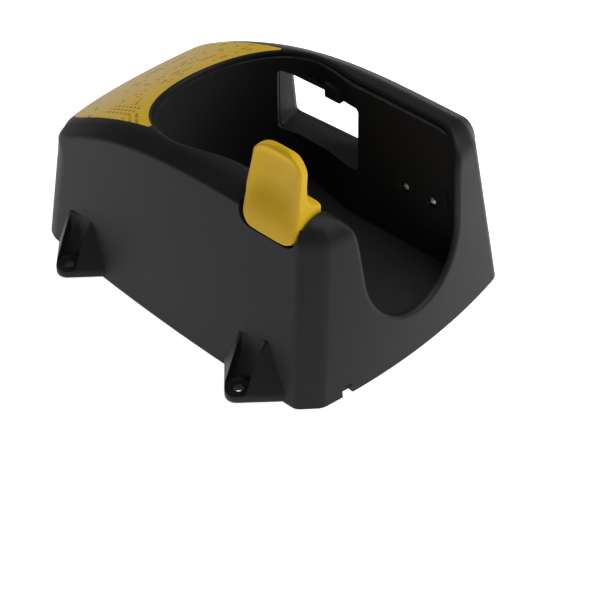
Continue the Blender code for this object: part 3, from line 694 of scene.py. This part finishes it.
def tray_object():
    """The tray's inner face given a wall outside it."""
    surface = both_sides(tray_surface())
    bow = FRONT_BOW * (1 - (surface[..., 0] / 56) ** 2)
    near_front = np.clip((-70.0 - surface[..., 1]) / 18.5, 0, 1) ** 2
    lean = FRONT_LEAN * (surface[..., 2] - FLOOR_Z)
    surface[..., 1] -= (bow - 3.4) * near_front - lean * near_front
    made = grid_object("well_tray_moulding", surface, around=False, along_rows=False, merge=0.004)
    wall = made.modifiers.new("wall", "SOLIDIFY")
    wall.thickness = TRAY_WALL * MM
    wall.offset = -1.0
    wall.use_rim = True
    settle(made)
    return made


tray = tray_object()


def wall_x(y, z):
    """Distance of the right wall's inner face from the middle plane, at a place along it."""
    straight = np.interp(y, [-22, -14, -6], [CHANNEL_HALF, 40.9, 42.9])
    round_part = np.sqrt(np.maximum(1, WELL_RADIUS ** 2 - (y - WELL_MIDDLE) ** 2))
    return np.where(y < -6, straight, round_part) - 2.9 * (86.5 - z) / 68


def sleeve_solid(grow=1.8):
    """Sleeve of the side window: from inside the tray's wall to just behind the housing's skin."""
    near = window_ring(WINDOW_NEAR_X, grow)
    inset = (wall_x(*near[:, 1:].T) + 0.7 - WINDOW_NEAR_X) / 8.0
    near = near + (window_ring(WINDOW_NEAR_X + 8.0, grow) - near) * inset[:, None]
    far = window_ring(76.0, grow)
    reach = halved(np.zeros(len(near)), np.ones(len(near)),
                   lambda half: skin_gap(near + (far - near) * half[:, None]) < -(WALL + 0.3))
    end = near + (far - near) * reach[:, None]
    rings = [near + (end - near) * share for share in np.linspace(0, 1, 8)]
    return grid_object("sleeve", np.stack(rings, 1), along_rows=False, caps=True)


def soft_block(name, low, high, ease):
    """Box with its edges eased over a small radius."""
    made = block(name, low, high)
    step = made.modifiers.new("ease", "BEVEL")
    step.width = ease * MM
    step.segments = 3
    settle(made)
    return made


ledge = soft_block("guide_ledge", (35.2, -31.0, 12.9), (41.5, -17.5, 33.0), 1.2)
cup = turned("release_cup", [(0, 0), (5.6, 0), (6.4, 0.8), (6.4, 6.0), (0, 6.0)],
             (43.0, 6.5, 26.0), "x")
rib = soft_block("corner_rib", (34.6, -80.5, 45.0), (38.6, -79.3, 57.0), 0.3)
cut(tray, sleeve_solid(), ledge, cup, rib, operation="UNION")
tray_tools = [window_plug("window_void", 30, 70),
              prism("lever_way", lever_seat(0.7, 2.0), -80, -30, "x"),
              block("latch_slot", (-50, -64.5, 54.5), (-30, -53.5, 80)),
              block("floor_recess", (4.0, -70.4, FLOOR_Z - 0.8), (29.5, -44, FLOOR_Z + 2))]
for contact_place in CONTACT_PLACES:
    tray_tools.append(turned("contact_hole", [(0, -10), (2.75, -10), (2.75, 10), (0, 10)],
                             contact_place, "x"))
cut(tray, *tray_tools)
boss = soft_block("latch_boss", (38.6, -12.6, 71.4), (43.6, -3.0, 79.0), 0.6)
step = soft_block("latch_boss_step", (38.8, -16.4, 74.2), (42.6, -11.8, 79.0), 0.6)
cut(tray, boss, step, operation="UNION")
crisp(tray)
coat(tray, moulded("tray_abs", TRAY_DARK, TRAY_LIGHT, 0.55, sheen=0.04))
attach(tray, "cradle")
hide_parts("well_tray")

# ---------------------------------------------------------------------------------------------
# Release lever: yellow moulding on a steel pin in the left rail. A thumb plate dished on its
# outer face stands on a hub that flares towards the well; a latch arm hangs below it.
# ---------------------------------------------------------------------------------------------
LEVER_LOW = 76.6
LEVER_TIP = 119.6
LEVER_OUTER = [(LEVER_LOW, -56.7), (82.5, -55.7), (88.0, -54.2), (94.0, -52.8), (100.0, -51.9),
               (107.0, -51.3), (114.0, -51.1), (118.2, -51.0), (LEVER_TIP, -50.6)]
LEVER_INNER = [(LEVER_LOW, -41.6), (79.2, -38.9), (81.0, -38.6), (90.6, -37.6), (91.3, -38.6),
               (92.2, -41.4), (93.6, -44.2), (96.4, -45.7), (103.0, -46.3), (112.0, -46.4),
               (117.0, -46.4), (LEVER_TIP, -46.6)]


def eased_line(points, z, spread=0.9):
    """Values of a line of (z, value) points at heights z, its corners softened over a spread."""
    points = np.array(points)
    taps = np.linspace(-spread, spread, 9)
    at = np.clip(z[:, None] + taps, points[0, 0], points[-1, 0])
    return np.interp(at, points[:, 0], points[:, 1]).mean(1)


def quarter(z, start, run):
    """1 until z reaches the start, then down a quarter circle to 0 over the run (or up it)."""
    return np.sqrt(np.clip(1 - np.clip((z - start) / run, 0, 1) ** 2, 0, 1))


def lever_edges(z):
    """Front and rear edges of the plate at each height: straight, round at the top and foot."""
    front = np.interp(z, [76, 90, 97, 104, 112], [-75.2, -75.0, -74.4, -74.6, -75.3])
    rear = np.interp(z, [76, 88, 93, 100, 110.6], [-43.3, -43.4, -43.9, -45.2, -47.6])
    foot = quarter(z, 82.6, -6.0)
    front = front + 10.0 * (1 - quarter(z, 109.6, 10.0)) + 6.0 * (1 - foot)
    rear = rear - 16.4 * (1 - quarter(z, 110.6, 9.0)) - 6.0 * (1 - foot)
    return front, rear


def lever_grid(around=112):
    """Rings stacked upward: each is a box with blunt corners between the plate's four faces.

    The ring is a superellipse of power 7. The outer face is hollowed by a parabola across the
    plate, deepest at the middle of its height.
    """
    turn = np.linspace(0, math.pi / 2, 60)
    z = np.concatenate([LEVER_LOW + 6.0 * (1 - np.cos(turn[::4])), np.linspace(83.2, 108.0, 44),
                        108.0 + (LEVER_TIP - 108.0) * np.sin(turn[2::2])])
    outer, inner = eased_line(LEVER_OUTER, z), eased_line(LEVER_INNER, z)
    closing = quarter(z, 117.4, 2.2)
    opening = quarter(z, 77.6, -1.0) * 0.08 + 0.92
    middle_x, half_x = (outer + inner) / 2, (inner - outer) / 2 * closing * opening
    front, rear = lever_edges(z)
    middle_y, half_y = (front + rear) / 2, (rear - front) / 2
    angle = np.linspace(0, 2 * math.pi, around, endpoint=False)
    power = 2 / 7
    across = np.sign(np.cos(angle)) * np.abs(np.cos(angle)) ** power
    length = np.sign(np.sin(angle)) * np.abs(np.sin(angle)) ** power
    x = middle_x + half_x * across[:, None]
    y = middle_y + half_y * length[:, None]
    hollow = 1 - np.abs((y - middle_y) / np.maximum(half_y - 1.9, 0.5)) ** 3
    tall = np.clip((z - 84.0) / 16.0, 0, 1) * np.clip((118.4 - z) / 6.0, 0, 1)
    tall = tall * tall * (3 - 2 * tall)
    x = x + 2.7 * np.clip(hollow, 0, 1) * tall * (across[:, None] < -0.2)
    points = np.stack([x, y, z + 0 * x], -1)
    ends = []
    for row in (points[:, 0], points[:, -1]):
        heart = row.mean(0)
        ends.append(np.stack([heart + (row - heart) * share for share in (0.0, 0.35, 0.7)], 1))
    return np.concatenate([ends[0], points, ends[1][:, ::-1]], 1)


lever = grid_object("release_lever_moulding", lever_grid(), along_rows=False, merge=0.002)
arm = soft_block("latch_arm", (-46.2, -63.5, 57.0), (-43.2, -54.5, 79.0), 0.5)
hook = prism("latch_hook", [(-45.0, 57.0), (-36.4, 59.0), (-36.0, 60.6), (-38.6, 64.5),
                            (-45.0, 64.5)], -63.0, -55.0, "y")
cut(lever, arm, hook, operation="UNION")
cut(lever, block("spring_pocket", (-52.6, -49.6, 70), (-41.4, -40, 85.2)),
    block("cheek_pocket", (-52.6, -80, 70), (-41.4, -71.8, 85.2)),
    turned("pivot_bore", [(0, -20), (1.59, -20), (1.59, 20), (0, 20)], (-47.0, -59.2, 80.0), "y"))
crisp(lever, 42)


def yellow_moulding(name):
    """Yellow ABS: even colour with faint flow clouding, matt grain, and a painted highlight that
    lightens every edge.
    """
    finish = Finish(name, IOR=1.5, Specular_IOR_Level=0.22)
    pits = finish.noise(2100.0, 3.0, 0.6)
    cloud = finish.noise(48.0, 3.0)
    # edges() paints a highlight here: every edge and corner is made lighter, as if lit.
    share = 0.5 * cloud + 0.2 * pits + 0.4 * finish.edges() - 0.1
    colour = finish.mix(share, (0.58, 0.345, 0.003), (0.78, 0.50, 0.006))
    return finish.to(Base_Color=colour, Roughness=0.52 + 0.12 * (pits - 0.5) + 0.1 * (cloud - 0.5),
                     Normal=finish.bump(pits, 0.00003))


coat(lever, yellow_moulding("lever_yellow_abs"))
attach(lever, "lever")
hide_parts("release_lever")

# ---------------------------------------------------------------------------------------------
# Label panel: a crescent of printed yellow film, laminated with a gloss layer, stuck on the top
# behind the well. Its print is only rows of plain dashes and small squares.
# ---------------------------------------------------------------------------------------------
LABEL_PROUD = 0.15
LABEL_THICK = 0.6


def label_edges(count=150):
    """Front edge concentric with the well, and the rear edge's matching points, (x, y)."""
    front = arc(0, WELL_MIDDLE, WELL_RADIUS + 1.2, 152, 28, 200)
    bow = np.linspace(-35, 35, 60)
    rear = np.concatenate([[(-42, 27.0), (-42, 76.0), (-40.4, 82.0), (-35.6, 86.0)],
                           np.column_stack([bow, 85.7 + 7.1 * (1 - (bow / 35) ** 2)])[1:-1],
                           [(35.6, 86.0), (40.4, 82.0), (42, 76.0), (42, 27.0)]])
    rear = along(rear, np.linspace(0, run_length(rear)[-1], 400))
    rear = rounded(rear, 4)
    marks = np.linspace(0, 1, count)
    return along(front, marks * run_length(front)[-1]), along(rear, marks * run_length(rear)[-1])


def drop_on_skin(plan, above):
    """Height of the skin, raised by a little, over each plan point, by halving."""
    shape = plan.shape[:-1]
    height = halved(np.full(shape, 30.0), np.full(shape, 95.0),
                    lambda half: skin_gap(np.concatenate([plan, half[..., None]], -1)) < above, 28)
    return np.concatenate([plan, height[..., None]], -1)


def label_grid(rows=40):
    """Closed grid: the printed top, then its back face."""
    front, rear = label_edges()
    share = np.linspace(0, 1, rows)[None, :, None]
    plan = front[:, None] + (rear - front)[:, None] * share
    top = drop_on_skin(plan, LABEL_PROUD)
    back = drop_on_skin(plan[:, ::-6], LABEL_PROUD - LABEL_THICK)
    return np.concatenate([top, back], 1)


label = grid_object("label_film_panel", label_grid(), around=False, caps=True)
crisp(label, 40)


def label_film():
    """Yellow print under gloss laminate: dashes in rows and a block of squares, and a painted
    whitish sheen towards the rear.

    Rows are rings about the well's middle; a random number for each cell leaves the gaps.
    """
    finish = Finish("label_print_film", IOR=1.5, Coat_Roughness=0.2, Specular_IOR_Level=0.06)
    x = finish.place().part("X") * 1000.0
    y = finish.place().part("Y") * 1000.0
    middle = WELL_MIDDLE - FOOTPRINT_MIDDLE
    radius = (x * x + (y - middle) * (y - middle)) ** 0.5
    run = finish.math("ARCTAN2", y - middle, x) * 46.0
    row = radius / 3.1
    level = row - row.fraction()
    place_in_row = run / 1.15 + level * 7.3
    cell = place_in_row - place_in_row.fraction()
    both = finish.add("ShaderNodeCombineXYZ", {}, {"X": cell, "Y": level})
    chance = finish.add("ShaderNodeTexWhiteNoise", {"noise_dimensions": "3D"}, {"Vector": both})
    gaps = finish.add("ShaderNodeTexNoise", {}, {"Vector": both, "Scale": 0.11, "Detail": 1.0})
    dash = (row.fraction() > 0.34) * (row.fraction() < 0.74) * (chance > 0.45) * (gaps > 0.52)
    inside = (radius > 49.6) * (radius < 78.0) * (y < 83.0)
    squares = ((x / 3.1).fraction() < 0.50) * ((y / 2.7).fraction() < 0.46)
    corner = (x < -27.5) * (x > -38.8) * (y > 42.0) * (y < 60.0)
    printed = dash * inside * (1 - corner) * 0.62 + squares * corner * 0.85
    cloud = finish.noise(34.0, 4.0, 0.6)
    yellow = finish.mix(cloud, (0.66, 0.40, 0.010), (0.80, 0.51, 0.018))
    # Painted reflection: the yellow is blended towards whitish grey further back, standing in for
    # the laminate's sheen.
    yellow_with_painted_sheen = finish.mix(0.04 + 0.42 * finish.ramp(y, 40.0, 90.0), yellow, (0.40, 0.33, 0.20))
    scuff = finish.noise(420.0, 4.0, 0.7)
    return finish.to(Base_Color=finish.mix(printed, yellow_with_painted_sheen, (0.09, 0.06, 0.03)),
                     Roughness=0.30 + 0.22 * scuff, Coat_Weight=0.02 + 0.03 * cloud,
                     Normal=finish.bump(scuff, 0.00001))


coat(label, label_film())
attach(label, "cradle")
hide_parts("label_panel")

# ---------------------------------------------------------------------------------------------
# Charging contacts: two sprung pins turned from brass and plated, with a conical nose. They look
# out of the channel's right wall and sink into it when the scanner is seated.
# ---------------------------------------------------------------------------------------------
PIN_PROFILE = [(0, 7.4), (2.15, 7.4), (2.4, 7.15), (2.4, 3.5), (3.2, 3.5), (3.2, 2.3), (2.4, 2.3),
               (2.4, -0.42), (2.28, -0.56), (0.95, -1.84), (0.55, -2.02), (0, -2.05)]


def plated_metal(name, colour, rough, shine=1.0):
    """Plated metal: fine scratches and a slight tarnish."""
    finish = Finish(name, Metallic=shine)
    scratch = finish.noise(2600.0, 4.0, 0.7)
    tarnish = finish.ramp(finish.noise(700.0, 3.0), 0.45, 0.75)
    dull = tuple(0.55 * value for value in colour)
    return finish.to(Base_Color=finish.mix(0.5 * tarnish, colour, dull),
                     Roughness=rough + 0.16 * scratch + 0.1 * tarnish,
                     Normal=finish.bump(scratch, 0.00001))


contact_finish = plated_metal("contact_plating", (0.95, 0.93, 0.87), 0.22, shine=0.40)
for number, contact_place in enumerate(CONTACT_PLACES, 1):
    pin = turned(f"charging_contact_{number}", PIN_PROFILE, contact_place, "x", 56)
    crisp(pin, 30)
    pin.data.materials.append(contact_finish)
    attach(pin, f"contact_{number}")
    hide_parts(f"contact_pin_{number}")

# ---------------------------------------------------------------------------------------------
# Pieces inside and below, carried over from the CAD: base plate, feet, screws, pivot, springs,
# circuit board and its parts. Each takes a finish of its own material.
# ---------------------------------------------------------------------------------------------


def laminate():
    """Green solder mask over glass cloth: woven relief and tracks as darker bands."""
    finish = Finish("board_solder_mask", IOR=1.55)
    weave = finish.noise(1500.0, 1.0)
    tracks = finish.ramp(finish.noise(240.0, 0.0), 0.49, 0.51)
    colour = finish.mix(tracks, (0.008, 0.085, 0.035), (0.014, 0.14, 0.06))
    return finish.to(Base_Color=colour, Roughness=0.32 + 0.2 * weave,
                     Normal=finish.bump(weave, 0.00002))


def foot_rubber():
    """Black rubber foot: matt, dusty, finely pitted."""
    finish = Finish("foot_rubber_skin", IOR=1.5)
    pits = finish.noise(1900.0, 4.0, 0.7)
    dust = finish.ramp(finish.noise(300.0, 4.0), 0.45, 0.75)
    colour = finish.mix(0.5 * dust, (0.012, 0.012, 0.012), (0.05, 0.048, 0.045))
    return finish.to(Base_Color=colour,
                     Roughness=0.78 + 0.2 * (pits - 0.5), Normal=finish.bump(pits, 0.00005))


FINE_GRAIN = 0.00002
steel = plated_metal("zinc_plated_steel", (0.62, 0.62, 0.60), 0.26)
spring_wire = plated_metal("spring_wire_steel", (0.50, 0.50, 0.50), 0.22)
grey_abs = moulded("base_grey_abs", (0.020, 0.020, 0.021), (0.034, 0.034, 0.035), 0.52)
black_nylon = moulded("socket_black_nylon", (0.008, 0.008, 0.008), (0.018, 0.018, 0.018), 0.38,
                      FINE_GRAIN)
grey_nylon = moulded("socket_grey_nylon", (0.10, 0.10, 0.105), (0.15, 0.15, 0.155), 0.40,
                     FINE_GRAIN)
carrier_nylon = moulded("carrier_nylon", (0.05, 0.05, 0.05), (0.08, 0.08, 0.08), 0.42, FINE_GRAIN)
epoxy = moulded("chip_epoxy_black", (0.012, 0.012, 0.013), (0.022, 0.022, 0.023), 0.55, FINE_GRAIN)
ferrite = moulded("ferrite_core", (0.05, 0.048, 0.046), (0.08, 0.078, 0.075), 0.6, 0.00003)
tin = plated_metal("shield_tinplate", (0.72, 0.72, 0.70), 0.24)
CARRIED_OVER = {
    "base_plate": grey_abs, "lever_bracket": grey_abs, "lever_pin": steel,
    "lever_spring": spring_wire, "contact_spring": spring_wire,
    "contact_carrier": carrier_nylon, "carrier_screw": steel, "board_screw": steel,
    "housing_screw": steel, "main_circuit_board": laminate(), "radio_shield_can": tin,
    "processor_chip": epoxy, "charger_chip": epoxy, "power_inductor": ferrite,
    "power_jack": black_nylon, "data_socket": grey_nylon, "rubber_foot": foot_rubber(),
}
for node_name, node in frame["nodes"].items():
    for family, finish_made in CARRIED_OVER.items():
        if node_name.startswith(family):
            coat(node, finish_made)

# ---------------------------------------------------------------------------------------------
# Studio: a bright pale table that lights the cradle from below and around, a dim ceiling, a soft
# key light at the front right, and a broad panel behind.
# ---------------------------------------------------------------------------------------------


LIGHTS_AIM = Vector((0, 0, 0.05))
TABLE_GLOW = 0.93
CEILING_GLOW = 0.12


def soft_panel(name, place_at, size, power):
    """Rectangular area light that faces the cradle."""
    lamp = bpy.data.lights.new(name, "AREA")
    lamp.shape = "RECTANGLE"
    lamp.size, lamp.size_y = size
    lamp.energy = power
    made = bpy.data.objects.new(name, lamp)
    bpy.context.scene.collection.objects.link(made)
    made.location = place_at
    made.rotation_mode = "QUATERNION"
    made.rotation_quaternion = (made.location - LIGHTS_AIM).to_track_quat("Z", "Y")


def studio_floor():
    """Pale table, slightly self-lit so that it stays even, with faint mottling."""
    finish = Finish("table_pale", Roughness=0.7)
    mottle = finish.noise(3.0, 2.0)
    finish.shader.inputs["Emission Strength"].default_value = TABLE_GLOW
    return finish.to(Base_Color=finish.mix(mottle, (0.80, 0.80, 0.80), (0.84, 0.84, 0.84)),
                     Emission_Color=finish.mix(mottle, (0.98, 0.98, 0.98), (1.0, 1.0, 1.0)))


table = block("table", (-3000, -3000, -20), (3000, 3000, 0))
table.data.materials.append(studio_floor())

world = bpy.data.worlds.new("studio")
bpy.context.scene.world = world
world.use_nodes = True
backdrop = world.node_tree.nodes["Background"].inputs
backdrop["Color"].default_value = (1.0, 1.0, 1.0, 1)
backdrop["Strength"].default_value = CEILING_GLOW
soft_panel("key", (0.9, -1.1, 1.1), (0.9, 0.9), 13)
soft_panel("overhead", (0.15, -0.35, 1.5), (0.6, 0.6), 9)
soft_panel("rear", (0.9, 1.3, 1.3), (1.6, 0.8), 2)
bpy.context.scene.view_settings.view_transform = "Standard"


def view_camera():
    """Camera of the main view: a long lens from the front left, looking down.

    Turned about Z by its heading, about its own X by a quarter turn less the fall, then rolled.
    """
    camera = bpy.data.cameras.new("main_view")
    camera.sensor_width = 36.0
    camera.lens = 108.0
    camera.shift_x = -0.0872
    camera.shift_y = 0.0188
    made = bpy.data.objects.new("main_view", camera)
    bpy.context.scene.collection.objects.link(made)
    heading, fall, roll = (math.radians(value) for value in (47.362, 41.296, -0.3256))
    stand = Matrix.Translation((-0.45772, -0.47969, 0.54283))
    turn = Matrix.Rotation(-heading, 4, "Z") @ Matrix.Rotation(math.pi / 2 - fall, 4, "X")
    made.matrix_world = stand @ turn @ Matrix.Rotation(roll, 4, "Z")
    return made


bpy.context.scene.camera = view_camera()
